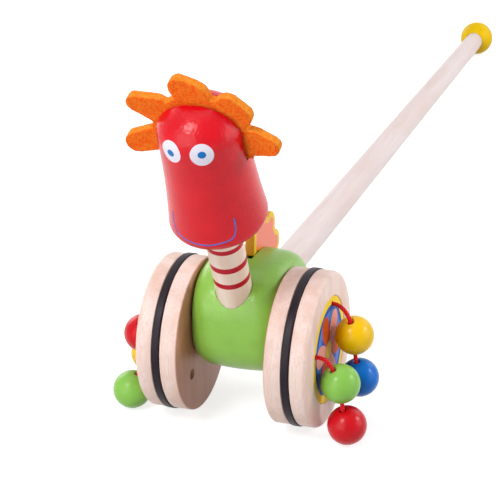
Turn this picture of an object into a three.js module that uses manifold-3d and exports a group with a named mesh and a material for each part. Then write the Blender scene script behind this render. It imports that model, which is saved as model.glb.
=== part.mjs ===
// A wooden push-along toy: two clacking wheels with strings of beads, a barrel-sided body,
// a striped neck with a long-nosed head and a felt mane, a wing, and a stick with a ball handle.
// Millimetres. X runs along the axle, the toy faces -Y, the stick trails toward +Y, +Z is up.

import * as THREE from 'three';
import { mergeVertices } from 'three/addons/utils/BufferGeometryUtils.js';
import Module from 'manifold-3d';

const wasm = await Module();
wasm.setup();

// Clearances shared by all pieces
const GLUE_GAP = 0.3; // between pieces that are glued or pressed together
const RUN_GAP = 0.5; // around the axle where it turns in the body
const SIDE_GAP = 0.6; // between the body and each wheel
const OVERRUN = 3; // how far a cutter runs past the face that it opens

// Body: an oval block with softly rounded ends and a slight belly
const BODY_WIDTH = 44.2;
const BODY_LENGTH = 68.8;
const BODY_HEIGHT = 59.2;
const BODY_EDGE_WIDTH = 9.8;
const BODY_EDGE_DEPTH = 5.4;
const BODY_AHEAD_OF_CENTRE = 11.2;
const BODY_ABOVE_AXLE = 12.6;
const BODY_PITCH = THREE.MathUtils.degToRad(-6.3);
const BODY_SQUARENESS = 2.66;
const BODY_BELLY_SHARE = 0.05;

// Axle and wheels
const AXLE_RADIUS = 5;
const WHEEL_RADIUS = 40;
const WHEEL_WIDTH = 22.3;
const WHEEL_INNER_EDGE = 0.8;
const WHEEL_OUTER_EDGE = 2.6;
const TYRE_WIDTH = 3.8;
const TYRE_DEPTH = 2.2;
const TYRE_PROUD = 0.5;
const TYRE_EDGE = 0.5;
const DISC_RADIUS = 27.5;
const DISC_THICKNESS = 1.2;
const DISC_SETBACK = 0.3;

// Neck and head share one axis, which leans forward
const NECK_RADIUS = 9.25;
const NECK_LENGTH = 92;
const NECK_FOOT_Y = -5;
const NECK_FOOT_Z = 11.5;
const NECK_LEAN = THREE.MathUtils.degToRad(18.6);
const NECK_CHAMFER = 0.8;
const HEAD_START = 71.8; // along the neck, from its foot to the underside of the head
const HEAD_SOCKET_DEPTH = NECK_LENGTH - HEAD_START;
const HEAD_MUZZLE_RADIUS = 24;
const HEAD_MUZZLE_EDGE_RADIUS = 6.8;
const HEAD_MUZZLE_EDGE_HEIGHT = 5.6;
const HEAD_CROWN_RADIUS = 20.8;
const HEAD_CROWN_START = 57.4;
const HEAD_CROWN_HEIGHT = 16.2;

// Felt mane, held in a saw cut across the crown
const MANE_THICKNESS = 5;
const MANE_SETBACK = 1; // its middle lies this far behind the head's axis
const MANE_COLLAR = 3; // how far the felt stands out of the saw cut between the locks
const MANE_FLOOR = 43.2; // height of the saw cut's floor above the underside of the head
// Locks, from the right round to the left. Each is drawn round two circles, one at its root and one at
// its tip: across, up and radius, as shares of the crown's radius, from the middle of the crown.
const LOCK_SHARES = [
  { root: [1.15, -0.24, 0.35], tip: [1.56, -0.34, 0.22] },
  { root: [0.71, 0.71, 0.28], tip: [0.99, 0.47, 0.26] },
  { root: [-0.06, 0.87, 0.41], tip: [-0.33, 1.15, 0.25] },
  { root: [-0.96, 0.46, 0.34], tip: [-1.46, 0.61, 0.2] },
  { root: [-1.09, -0.37, 0.31], tip: [-1.62, -0.54, 0.27] },
];

// Wing, a flat plate in a slot along the top of the body
const WING_THICKNESS = 5;
const WING_FRONT_Y = 8.6;
const WING_FOOT_Z = 27;
const WING_HEIGHT = 33;
const WING_LENGTH = 44;
const WING_RAKE = 6.5; // how far the front edge leans back over the wing's height
const WING_SLOT_LEAD = 1.6; // the slot starts this far ahead of the wing
const FEATHER_RADIUS = 7;
// Corners of the plate from the foot of its front edge, as shares of the wing's length and height. Its
// tab is set back in the slot, so that the slot shows open ahead of it.
const PLATE_SHARES = [
  [0.065, 0.45],
  [0.25, 0.45],
  [0.25, 0],
  [0.93, 0],
  [0.93, 0.3],
  [0.74, 0.72],
  [0.31, 0.95],
];
// Centres of the three feather tips, as shares of the wing's length and height
const FEATHER_SHARES = [
  [0.31, 0.78],
  [0.7, 0.6],
  [0.84, 0.21],
];

// Push stick and its ball
const STICK_ROOT_Z = 13.6; // height of the stick's axis where it passes over the axle
const STICK_DIP = THREE.MathUtils.degToRad(4.25);
const STICK_START = 16; // along the stick, from above the axle to the butt in its socket
const STICK_LENGTH = 546;
const STICK_SOCKET_DEPTH = 31;
const STICK_BUTT_RADIUS = 8.75;
const STICK_END_RADIUS = 6.55;
const STICK_CHAMFER = 1;
const BALL_RADIUS = 12.4;
const BALL_SOCKET_DEPTH = 13;

// Beads on cords that run out through the wheels
const BEAD_RADIUS = 10;
const BORE_RADIUS = 1.6;
const CORD_RADIUS = 1;
const KNOT_RADIUS = 2.3;
const POCKET_RADIUS = 2.9;
const POCKET_DEPTH = 12;
const CORD_RING_RADIUS = 23.6;
const LAST_BORE_DEPTH = 7;
const CORD_BEND = 4.6; // reach of the cord's first bend as it leaves the wheel
const LINK_BEND_SHARE = 1 / 3; // the cord between two beads bends over this share of its span, at most

// One entry a string. Angles are in degrees: hole is the hole's place round the wheel, from +Y toward
// +Z; lean is from straight down toward +Y; splay is outward from the wheel. standOff, reach and gap are
// shares of the bead's radius: bead to wheel, hole to first bead, and between the two beads. Sag is
// how many degrees the cord between the beads dips below the line through their middles. Inlet is how
// far the cord's way into the first bead tips from straight down, where its bore bends inside.
const STRINGS = [
  { name: 'right_rear', side: 1, hole: 71.5, colours: ['yellow', 'blue'],
    standOff: 0.1, reach: 1.66, lean: 1, gap: 0.31, nextLean: -5.5, splay: 7.5, sag: 14,
    inlet: { lean: 18, splay: 7.4 } },
  { name: 'right_front', side: 1, hole: 161, colours: ['green', 'red'],
    standOff: 0.1, reach: 1.6, lean: 14.5, gap: 0.29, nextLean: -3.8, splay: 8.8, sag: 14,
    inlet: { lean: 16.4, splay: 18.8 } },
  { name: 'left_front', side: -1, hole: 216, colours: ['green', 'blue'],
    standOff: 0.35, reach: 1.7, lean: 13.2, gap: 2.8, nextLean: 90, splay: -2.4, sag: 35,
    inlet: { lean: -6, splay: 21 } },
  { name: 'left_top', side: -1, hole: 126, colours: ['red', 'yellow'],
    standOff: 0.04, reach: 2.46, lean: 26.3, gap: 0.21, nextLean: 32.4, splay: 5.7, sag: 0 },
];

// Angles in turned profiles, in degrees
const DOWNWARD = -90;
const OUTWARD = 0;
const UPWARD = 90;
const DOME_END = 85; // where the crown's last facet starts
const KNOT_START = -60; // where the knot's first facet ends

// Facets
const WHEEL_SIDES = 48;
const BODY_SIDES = 40;
const HEAD_SIDES = 40;
const ROUND_SIDES = 32;
const STICK_SIDES = 24;
const BALL_ROWS = 12;
const BEAD_SIDES = 16;
const HOLE_SIDES = 12;
const CORD_SIDES = 8;
const KNOT_SIDES = 10;
const BODY_STEPS = 2;
const FLANK_STEPS = 5;
const DOME_STEPS = 7;
const ARC_STEPS = 4;
const BORE_STEPS = 9;
const BEND_STEPS = 12;
const LINK_STEPS = 3;

const COLOURS = {
  yellow: 0xfcc60a,
  blue: 0x1560b8,
  green: 0x8bc95a,
  red: 0xd61f2b,
  beech: 0xeed2c0,
  stick: 0xeedfd8,
  felt: 0xf56a1a,
  wing: 0xf88f72,
  disc: 0x1f6fc0,
  tyre: 0x2c2a30,
  cord: 0xc8101a,
};
const WOOD_ROUGHNESS = 0.45;
const PAINT_ROUGHNESS = 0.3;
const RUBBER_ROUGHNESS = 0.7;
const CLOTH_ROUGHNESS = 0.95;
const X_AXIS = new THREE.Vector3(1, 0, 0);
const Y_AXIS = new THREE.Vector3(0, 1, 0);
const Z_AXIS = new THREE.Vector3(0, 0, 1);

const WHEEL_INNER = BODY_WIDTH / 2 + SIDE_GAP;
const WHEEL_OUTER = WHEEL_INNER + WHEEL_WIDTH;
const DISC_RECESS = DISC_SETBACK + DISC_THICKNESS + GLUE_GAP;

function piece(name, geometry, colour, roughness) {
  const material = new THREE.MeshStandardMaterial({ color: colour, roughness, metalness: 0 });
  const mesh = new THREE.Mesh(geometry, material);
  mesh.name = name;
  return mesh;
}

// Turns a geometry that was made along Y so that it runs from a point along a direction
function aim(geometry, from, direction) {
  const turn = new THREE.Quaternion().setFromUnitVectors(Y_AXIS, direction);
  return geometry.applyQuaternion(turn).translate(from.x, from.y, from.z);
}

function toSolid(geometry) {
  const bare = geometry.clone();
  bare.deleteAttribute('normal');
  bare.deleteAttribute('uv');
  const merged = mergeVertices(bare, 1e-4);
  return new wasm.Manifold(new wasm.Mesh({
    numProp: 3,
    vertProperties: new Float32Array(merged.attributes.position.array),
    triVerts: new Uint32Array(merged.index.array),
  }));
}

function toGeometry(solid) {
  const mesh = solid.getMesh();
  const geometry = new THREE.BufferGeometry();
  geometry.setAttribute('position', new THREE.BufferAttribute(mesh.vertProperties, 3));
  geometry.setIndex(new THREE.BufferAttribute(mesh.triVerts, 1));
  geometry.computeVertexNormals();
  return geometry;
}

function cut(geometry, ...cutters) {
  return toGeometry(cutters.reduce((solid, cutter) => solid.subtract(toSolid(cutter)), toSolid(geometry)));
}

function join(...geometries) {
  return toGeometry(geometries.map(toSolid).reduce((sum, solid) => sum.add(solid)));
}

// A round bar along Y that starts at height zero
function bar(radius, length, sides = ROUND_SIDES) {
  return new THREE.CylinderGeometry(radius, radius, length, sides).translate(0, length / 2, 0);
}

// A revolve about Y; the profile holds [radius, height] pairs
function turned(profile, sides) {
  const points = profile.map(([radius, height]) => new THREE.Vector2(radius, height));
  return new THREE.LatheGeometry(points, sides, Math.PI / sides);
}

// Points of an ellipse's arc in a profile, from one angle to another in degrees
function arc(middle, reach, fromDegrees, toDegrees, steps = ARC_STEPS) {
  return Array.from({ length: steps + 1 }, (_, k) => {
    const angle = THREE.MathUtils.degToRad(THREE.MathUtils.lerp(fromDegrees, toDegrees, k / steps));
    return [middle[0] + reach[0] * Math.cos(angle), middle[1] + reach[1] * Math.sin(angle)];
  });
}

// A round tube that follows a path
function sweep(path, radius, steps) {
  const section = new THREE.Shape(
    Array.from({ length: CORD_SIDES }, (_, k) => {
      const angle = (2 * Math.PI * k) / CORD_SIDES;
      return new THREE.Vector2(radius * Math.cos(angle), radius * Math.sin(angle));
    }),
  );
  return new THREE.ExtrudeGeometry(section, { steps, bevelEnabled: false, extrudePath: path });
}

// Body

function bodyBlank() {
  const halfLength = BODY_LENGTH / 2 - BODY_EDGE_DEPTH;
  const halfHeight = BODY_HEIGHT / 2 - BODY_EDGE_DEPTH;
  const power = 2 / BODY_SQUARENESS;
  const outline = new THREE.Shape(
    Array.from({ length: BODY_SIDES }, (_, k) => {
      const angle = (2 * Math.PI * k) / BODY_SIDES;
      const c = Math.cos(angle);
      const s = Math.sin(angle);
      return new THREE.Vector2(
        halfLength * Math.sign(c) * Math.abs(c) ** power,
        halfHeight * Math.sign(s) * Math.abs(s) ** power,
      );
    }),
  );
  const straight = BODY_WIDTH - 2 * BODY_EDGE_WIDTH;
  const block = new THREE.ExtrudeGeometry(outline, {
    depth: straight,
    steps: BODY_STEPS,
    bevelThickness: BODY_EDGE_WIDTH,
    bevelSize: BODY_EDGE_DEPTH,
    bevelSegments: ARC_STEPS,
  });
  block.translate(0, 0, -straight / 2);
  const place = block.attributes.position;
  for (let k = 0; k < place.count; k++) {
    const across = place.getZ(k) / (BODY_WIDTH / 2);
    const belly = 1 - BODY_BELLY_SHARE * across * across;
    place.setXY(k, place.getX(k) * belly, place.getY(k) * belly);
  }
  block.rotateZ(BODY_PITCH);
  block.applyMatrix4(new THREE.Matrix4().makeBasis(Y_AXIS, Z_AXIS, X_AXIS));
  return block.translate(0, BODY_AHEAD_OF_CENTRE, BODY_ABOVE_AXLE);
}

const neckFoot = new THREE.Vector3(0, NECK_FOOT_Y, NECK_FOOT_Z);
const neckDirection = new THREE.Vector3(0, -Math.sin(NECK_LEAN), Math.cos(NECK_LEAN));
const stickDirection = new THREE.Vector3(0, Math.cos(STICK_DIP), -Math.sin(STICK_DIP));
const stickButt = new THREE.Vector3(0, 0, STICK_ROOT_Z).addScaledVector(stickDirection, STICK_START);

function makeBody() {
  const axleBore = aim(
    bar(AXLE_RADIUS + RUN_GAP, BODY_WIDTH + 2 * OVERRUN),
    new THREE.Vector3(-BODY_WIDTH / 2 - OVERRUN, 0, 0),
    X_AXIS,
  );
  const neckSocket = aim(
    bar(NECK_RADIUS + GLUE_GAP, HEAD_START),
    neckFoot.clone().addScaledVector(neckDirection, -GLUE_GAP),
    neckDirection,
  );
  const stickSocket = aim(
    bar(STICK_BUTT_RADIUS + GLUE_GAP, BODY_LENGTH),
    stickButt.clone().addScaledVector(stickDirection, -GLUE_GAP),
    stickDirection,
  );
  const slotStart = WING_FRONT_Y - WING_SLOT_LEAD;
  const wingSlot = new THREE.BoxGeometry(WING_THICKNESS + 2 * GLUE_GAP, BODY_LENGTH, BODY_HEIGHT).translate(
    0,
    slotStart + BODY_LENGTH / 2,
    WING_FOOT_Z - GLUE_GAP + BODY_HEIGHT / 2,
  );
  return cut(bodyBlank(), axleBore, neckSocket, stickSocket, wingSlot);
}

// Neck, head and mane, in a frame whose Y runs up the neck and whose Z is the way the face looks

function makeNeck() {
  return turned([
    [0, 0],
    [NECK_RADIUS - NECK_CHAMFER, 0],
    [NECK_RADIUS, NECK_CHAMFER],
    [NECK_RADIUS, NECK_LENGTH - NECK_CHAMFER],
    [NECK_RADIUS - NECK_CHAMFER, NECK_LENGTH],
    [0, NECK_LENGTH],
  ], ROUND_SIDES);
}

// Radius of the head's flank, which flares smoothly from the crown down to the muzzle
function headRadius(height) {
  const fall = (HEAD_CROWN_START - height) / (HEAD_CROWN_START - HEAD_MUZZLE_EDGE_HEIGHT);
  return HEAD_CROWN_RADIUS + (HEAD_MUZZLE_RADIUS - HEAD_CROWN_RADIUS) * fall * fall;
}

function makeHead() {
  const flank = Array.from({ length: FLANK_STEPS - 1 }, (_, k) => {
    const height = THREE.MathUtils.lerp(HEAD_MUZZLE_EDGE_HEIGHT, HEAD_CROWN_START, (k + 1) / FLANK_STEPS);
    return [headRadius(height), height];
  });
  const blank = turned([
    [0, 0],
    ...arc(
      [HEAD_MUZZLE_RADIUS - HEAD_MUZZLE_EDGE_RADIUS, HEAD_MUZZLE_EDGE_HEIGHT],
      [HEAD_MUZZLE_EDGE_RADIUS, HEAD_MUZZLE_EDGE_HEIGHT],
      DOWNWARD, OUTWARD,
    ),
    ...flank,
    ...arc([0, HEAD_CROWN_START], [HEAD_CROWN_RADIUS, HEAD_CROWN_HEIGHT], OUTWARD, DOME_END, DOME_STEPS),
    [0, HEAD_CROWN_START + HEAD_CROWN_HEIGHT],
  ], HEAD_SIDES);
  const socket = bar(NECK_RADIUS + GLUE_GAP, HEAD_SOCKET_DEPTH + GLUE_GAP + OVERRUN).translate(0, -OVERRUN, 0);
  const kerf = new THREE.BoxGeometry(
    2 * HEAD_MUZZLE_RADIUS + 2 * OVERRUN, HEAD_CROWN_START, MANE_THICKNESS + 2 * GLUE_GAP,
  ).translate(0, MANE_FLOOR - GLUE_GAP + HEAD_CROWN_START / 2, -MANE_SETBACK);
  return cut(blank, socket, kerf);
}

function extrudeFelt(shape) {
  const options = { depth: MANE_THICKNESS, bevelEnabled: false, curveSegments: ARC_STEPS };
  return new THREE.ExtrudeGeometry(shape, options);
}

// One lock: the outline drawn tightly round a root circle and a tip circle
function makeLock({ root, tip }) {
  const [rootAcross, rootUp, rootRadius] = root.map((share) => share * HEAD_CROWN_RADIUS);
  const [tipAcross, tipUp, tipRadius] = tip.map((share) => share * HEAD_CROWN_RADIUS);
  const heading = Math.atan2(tipUp - rootUp, tipAcross - rootAcross);
  const reach = Math.hypot(tipUp - rootUp, tipAcross - rootAcross);
  const half = Math.acos((rootRadius - tipRadius) / reach);
  const outline = new THREE.Shape();
  outline.absarc(tipAcross, tipUp, tipRadius, heading - half, heading + half);
  outline.absarc(rootAcross, rootUp, rootRadius, heading + half, heading - half + 2 * Math.PI);
  return extrudeFelt(outline).translate(0, HEAD_CROWN_START, 0);
}

function makeMane() {
  const halfWidth = HEAD_CROWN_RADIUS + MANE_COLLAR;
  const sheet = new THREE.Shape();
  sheet.moveTo(halfWidth, MANE_FLOOR);
  sheet.lineTo(halfWidth, HEAD_CROWN_START);
  sheet.absellipse(0, HEAD_CROWN_START, halfWidth, HEAD_CROWN_HEIGHT + MANE_COLLAR, 0, Math.PI);
  sheet.lineTo(-halfWidth, MANE_FLOOR);
  const back = -MANE_SETBACK - MANE_THICKNESS / 2;
  return join(extrudeFelt(sheet), ...LOCK_SHARES.map(makeLock)).translate(0, 0, back);
}

// Wing

function makeWing() {
  const plate = new THREE.Shape([
    ...PLATE_SHARES.map(([along, up]) => new THREE.Vector2(along * WING_LENGTH, up * WING_HEIGHT)),
    new THREE.Vector2(WING_RAKE, WING_HEIGHT),
  ]);
  const options = { depth: WING_THICKNESS, bevelEnabled: false };
  const feathers = FEATHER_SHARES.map(([along, up]) =>
    new THREE.CylinderGeometry(FEATHER_RADIUS, FEATHER_RADIUS, WING_THICKNESS, ROUND_SIDES)
      .rotateX(Math.PI / 2)
      .translate(along * WING_LENGTH, up * WING_HEIGHT, WING_THICKNESS / 2));
  return join(new THREE.ExtrudeGeometry(plate, options), ...feathers)
    .applyMatrix4(new THREE.Matrix4().makeBasis(Y_AXIS, Z_AXIS, X_AXIS))
    .translate(-WING_THICKNESS / 2, WING_FRONT_Y, WING_FOOT_Z);
}

// Push stick

function makeStick() {
  return turned([
    [0, 0],
    [STICK_BUTT_RADIUS - STICK_CHAMFER, 0],
    [STICK_BUTT_RADIUS, STICK_CHAMFER],
    [STICK_BUTT_RADIUS, STICK_SOCKET_DEPTH],
    [STICK_END_RADIUS, STICK_LENGTH - STICK_CHAMFER],
    [STICK_END_RADIUS - STICK_CHAMFER, STICK_LENGTH],
    [0, STICK_LENGTH],
  ], STICK_SIDES);
}

function makeBall() {
  const ball = new THREE.SphereGeometry(BALL_RADIUS, STICK_SIDES, BALL_ROWS);
  const reach = BALL_SOCKET_DEPTH + GLUE_GAP;
  const socket = bar(STICK_END_RADIUS + GLUE_GAP, reach + OVERRUN, STICK_SIDES)
    .translate(0, -BALL_RADIUS - OVERRUN, 0);
  return cut(ball, socket);
}

// Wheels, in a frame whose Y runs outward along the axle from the wheel's inner face

function cordHoles(side) {
  return STRINGS.filter((string) => string.side === side).map((string) => {
    const angle = THREE.MathUtils.degToRad(string.hole);
    return new THREE.Vector3(0, CORD_RING_RADIUS * Math.cos(angle), CORD_RING_RADIUS * Math.sin(angle));
  });
}

function makeWheel(side) {
  const grooveRadius = WHEEL_RADIUS - TYRE_DEPTH;
  const grooveHalf = TYRE_WIDTH / 2 + GLUE_GAP;
  const middle = WHEEL_WIDTH / 2;
  const blank = turned([
    [0, 0],
    [WHEEL_RADIUS - WHEEL_INNER_EDGE, 0],
    [WHEEL_RADIUS, WHEEL_INNER_EDGE],
    [WHEEL_RADIUS, middle - grooveHalf],
    [grooveRadius, middle - grooveHalf],
    [grooveRadius, middle + grooveHalf],
    [WHEEL_RADIUS, middle + grooveHalf],
    ...arc(
      [WHEEL_RADIUS - WHEEL_OUTER_EDGE, WHEEL_WIDTH - WHEEL_OUTER_EDGE],
      [WHEEL_OUTER_EDGE, WHEEL_OUTER_EDGE],
      OUTWARD, UPWARD,
    ),
    [DISC_RADIUS + GLUE_GAP, WHEEL_WIDTH],
    [DISC_RADIUS + GLUE_GAP, WHEEL_WIDTH - DISC_RECESS],
    [0, WHEEL_WIDTH - DISC_RECESS],
  ], WHEEL_SIDES);
  const outward = X_AXIS.clone().multiplyScalar(side);
  const wheel = aim(blank, outward.clone().multiplyScalar(WHEEL_INNER), outward);
  const drill = (radius, length, sides, at) =>
    aim(bar(radius, length, sides), outward.clone().multiplyScalar(WHEEL_INNER - OVERRUN).add(at), outward);
  const cutters = [drill(AXLE_RADIUS + GLUE_GAP, WHEEL_WIDTH + 2 * OVERRUN, STICK_SIDES, new THREE.Vector3())];
  for (const hole of cordHoles(side)) {
    cutters.push(drill(BORE_RADIUS, WHEEL_WIDTH + 2 * OVERRUN, HOLE_SIDES, hole));
    cutters.push(drill(POCKET_RADIUS, POCKET_DEPTH + OVERRUN, HOLE_SIDES, hole));
  }
  return cut(wheel, ...cutters);
}

function makeTyre(side) {
  const inner = WHEEL_RADIUS - TYRE_DEPTH + GLUE_GAP;
  const outer = WHEEL_RADIUS + TYRE_PROUD;
  const ring = turned([
    [inner, 0],
    [outer - TYRE_EDGE, 0],
    [outer, TYRE_EDGE],
    [outer, TYRE_WIDTH - TYRE_EDGE],
    [outer - TYRE_EDGE, TYRE_WIDTH],
    [inner, TYRE_WIDTH],
    [inner, 0],
  ], WHEEL_SIDES);
  const outward = X_AXIS.clone().multiplyScalar(side);
  return aim(ring, outward.clone().multiplyScalar(WHEEL_INNER + (WHEEL_WIDTH - TYRE_WIDTH) / 2), outward);
}

function makeDisc(side) {
  const outward = X_AXIS.clone().multiplyScalar(side);
  const start = WHEEL_OUTER - DISC_SETBACK - DISC_THICKNESS;
  const blank = bar(DISC_RADIUS, DISC_THICKNESS, WHEEL_SIDES);
  const disc = aim(blank, outward.clone().multiplyScalar(start), outward);
  const holes = cordHoles(side).map((hole) =>
    aim(
      bar(BORE_RADIUS, DISC_THICKNESS + 2 * OVERRUN, HOLE_SIDES),
      outward.clone().multiplyScalar(start - OVERRUN).add(hole),
      outward,
    ));
  return cut(disc, ...holes);
}

function makeAxle() {
  const length = 2 * (WHEEL_OUTER - DISC_RECESS - GLUE_GAP);
  return aim(bar(AXLE_RADIUS, length), new THREE.Vector3(-length / 2, 0, 0), X_AXIS);
}

// Strings of beads

// Direction that leans from straight down toward +Y and splays outward from the wheel
function hangDirection(side, leanDegrees, splayDegrees) {
  const lean = THREE.MathUtils.degToRad(leanDegrees);
  const splay = THREE.MathUtils.degToRad(splayDegrees);
  return new THREE.Vector3(
    side * Math.sin(splay),
    Math.cos(splay) * Math.sin(lean),
    -Math.cos(splay) * Math.cos(lean),
  );
}

// The places that a string's pieces share
function layOut(string) {
  const { side } = string;
  const angle = THREE.MathUtils.degToRad(string.hole);
  const mouth = new THREE.Vector3(
    side * WHEEL_OUTER, CORD_RING_RADIUS * Math.cos(angle), CORD_RING_RADIUS * Math.sin(angle),
  );
  const first = mouth.clone()
    .addScaledVector(hangDirection(side, string.lean, 0), string.reach * BEAD_RADIUS)
    .addScaledVector(X_AXIS, side * (1 + string.standOff) * BEAD_RADIUS);
  const between = hangDirection(side, string.nextLean, string.splay);
  const last = first.clone().addScaledVector(between, (2 + string.gap) * BEAD_RADIUS);
  const onward = hangDirection(side, string.nextLean - string.sag, string.splay);
  const arriving = hangDirection(side, string.nextLean + string.sag, string.splay).negate();
  const inward = string.inlet
    ? hangDirection(side, 180 + string.inlet.lean, -string.inlet.splay)
    : onward.clone().negate();
  const seat = Math.sqrt(BEAD_RADIUS ** 2 - BORE_RADIUS ** 2);
  const inlet = first.clone().addScaledVector(inward, seat);
  const outlet = first.clone().addScaledVector(onward, seat);
  const lastInlet = last.clone().addScaledVector(arriving, seat);
  return { side, mouth, first, last, inward, onward, arriving, inlet, outlet, lastInlet, seat };
}

// The cord inside the wheel, with its knot in the pocket
function makeAnchor({ side, mouth }) {
  const knotCentre = POCKET_DEPTH - KNOT_RADIUS - GLUE_GAP;
  const neckAngle = THREE.MathUtils.radToDeg(Math.acos(CORD_RADIUS / KNOT_RADIUS));
  const profile = [
    [0, knotCentre - KNOT_RADIUS],
    ...arc([0, knotCentre], [KNOT_RADIUS, KNOT_RADIUS], KNOT_START, neckAngle),
    [CORD_RADIUS, WHEEL_WIDTH],
    [0, WHEEL_WIDTH],
  ];
  const start = mouth.clone().addScaledVector(X_AXIS, -side * WHEEL_WIDTH);
  return aim(turned(profile, KNOT_SIDES), start, X_AXIS.clone().multiplyScalar(side));
}

// The cord from the wheel's mouth, round its bend and on through the first bead
function firstCordPath({ side, mouth, first, inward, onward, inlet, seat }) {
  const start = mouth.clone().addScaledVector(X_AXIS, side * GLUE_GAP);
  const end = first.clone().addScaledVector(onward, seat - CORD_RADIUS - GLUE_GAP);
  const path = new THREE.CurvePath();
  path.add(new THREE.CubicBezierCurve3(
    start,
    start.clone().addScaledVector(X_AXIS, side * CORD_BEND),
    inlet.clone().addScaledVector(inward, CORD_BEND),
    inlet,
  ));
  path.add(new THREE.QuadraticBezierCurve3(inlet, first, end));
  return path;
}

function firstBorePath({ first, inward, onward, inlet, outlet }) {
  const path = new THREE.CurvePath();
  path.add(new THREE.LineCurve3(inlet.clone().addScaledVector(inward, OVERRUN), inlet));
  path.add(new THREE.QuadraticBezierCurve3(inlet, first, outlet));
  path.add(new THREE.LineCurve3(outlet, outlet.clone().addScaledVector(onward, OVERRUN)));
  return path;
}

function makeBeadBlank() {
  return new THREE.SphereGeometry(BEAD_RADIUS, BEAD_SIDES, BEAD_SIDES / 2 + 1);
}

function makeFirstBead(places) {
  const bead = aim(makeBeadBlank(), places.first, places.inward);
  return cut(bead, sweep(firstBorePath(places), BORE_RADIUS, BORE_STEPS));
}

// The cord between the beads, which ends in the last bead's blind bore
function lastCordPath({ last, onward, arriving, outlet, lastInlet }) {
  const bend = Math.min(CORD_BEND, outlet.distanceTo(lastInlet) * LINK_BEND_SHARE);
  const path = new THREE.CurvePath();
  path.add(new THREE.CubicBezierCurve3(
    outlet,
    outlet.clone().addScaledVector(onward, bend),
    lastInlet.clone().addScaledVector(arriving, bend),
    lastInlet,
  ));
  path.add(new THREE.LineCurve3(
    lastInlet,
    last.clone().addScaledVector(arriving, BEAD_RADIUS - LAST_BORE_DEPTH + GLUE_GAP),
  ));
  return path;
}

function makeLastBead({ last, arriving }) {
  const bore = bar(BORE_RADIUS, LAST_BORE_DEPTH + OVERRUN, CORD_SIDES)
    .translate(0, BEAD_RADIUS - LAST_BORE_DEPTH, 0);
  return aim(cut(makeBeadBlank(), bore), last, arriving);
}

// Assembly

const toy = new THREE.Group();
toy.add(piece('body', makeBody(), COLOURS.green, PAINT_ROUGHNESS));
toy.add(piece('wing', makeWing(), COLOURS.wing, WOOD_ROUGHNESS));

const upper = new THREE.Group();
upper.position.copy(neckFoot);
upper.quaternion.setFromUnitVectors(Y_AXIS, neckDirection);
upper.add(piece('neck', makeNeck(), COLOURS.beech, WOOD_ROUGHNESS));
const headGroup = new THREE.Group();
headGroup.position.y = HEAD_START;
headGroup.add(piece('head', makeHead(), COLOURS.red, PAINT_ROUGHNESS));
headGroup.add(piece('felt_mane', makeMane(), COLOURS.felt, CLOTH_ROUGHNESS));
upper.add(headGroup);
toy.add(upper);

const push = new THREE.Group();
push.position.copy(stickButt);
push.quaternion.setFromUnitVectors(Y_AXIS, stickDirection);
push.add(piece('push_stick', makeStick(), COLOURS.stick, WOOD_ROUGHNESS));
const ball = piece('handle_ball', makeBall(), COLOURS.yellow, PAINT_ROUGHNESS);
ball.position.y = STICK_LENGTH - BALL_SOCKET_DEPTH + BALL_RADIUS;
push.add(ball);
toy.add(push);

toy.add(piece('axle', makeAxle(), COLOURS.beech, WOOD_ROUGHNESS));
for (const [label, side] of [['right', 1], ['left', -1]]) {
  toy.add(piece(`wheel_${label}`, makeWheel(side), COLOURS.beech, WOOD_ROUGHNESS));
  toy.add(piece(`tyre_${label}`, makeTyre(side), COLOURS.tyre, RUBBER_ROUGHNESS));
  toy.add(piece(`wheel_disc_${label}`, makeDisc(side), COLOURS.disc, WOOD_ROUGHNESS));
}

for (const string of STRINGS) {
  const { name } = string;
  const places = layOut(string);
  const [firstColour, lastColour] = string.colours.map((colour) => COLOURS[colour]);
  const bend = sweep(firstCordPath(places), CORD_RADIUS, BEND_STEPS);
  const link = sweep(lastCordPath(places), CORD_RADIUS, string.sag ? BEND_STEPS : LINK_STEPS);
  toy.add(piece(`cord_knot_${name}`, makeAnchor(places), COLOURS.cord, CLOTH_ROUGHNESS));
  toy.add(piece(`cord_bend_${name}`, bend, COLOURS.cord, CLOTH_ROUGHNESS));
  toy.add(piece(`bead_first_${name}`, makeFirstBead(places), firstColour, PAINT_ROUGHNESS));
  toy.add(piece(`cord_link_${name}`, link, COLOURS.cord, CLOTH_ROUGHNESS));
  toy.add(piece(`bead_last_${name}`, makeLastBead(places), lastColour, PAINT_ROUGHNESS));
}

// The origin is the middle of the toy's footprint, on the floor
const box = new THREE.Box3().setFromObject(toy, true);
const centre = box.getCenter(new THREE.Vector3());
toy.position.set(-centre.x, -centre.y, -box.min.z);

export default toy;
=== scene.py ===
# A wooden push-along toy for a toddler: two heavy beech wheels with cords of clacking beads,
# a green body, a striped neck with a long red head and a felt mane, a printed wing, and a long
# push stick with a ball at its end. It stands on its tyres and the ball, with its face toward -Y.

import math
from functools import partial
from types import SimpleNamespace

import bmesh
import bpy
from mathutils import Matrix, Quaternion, Vector
from mathutils.geometry import interpolate_bezier


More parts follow.
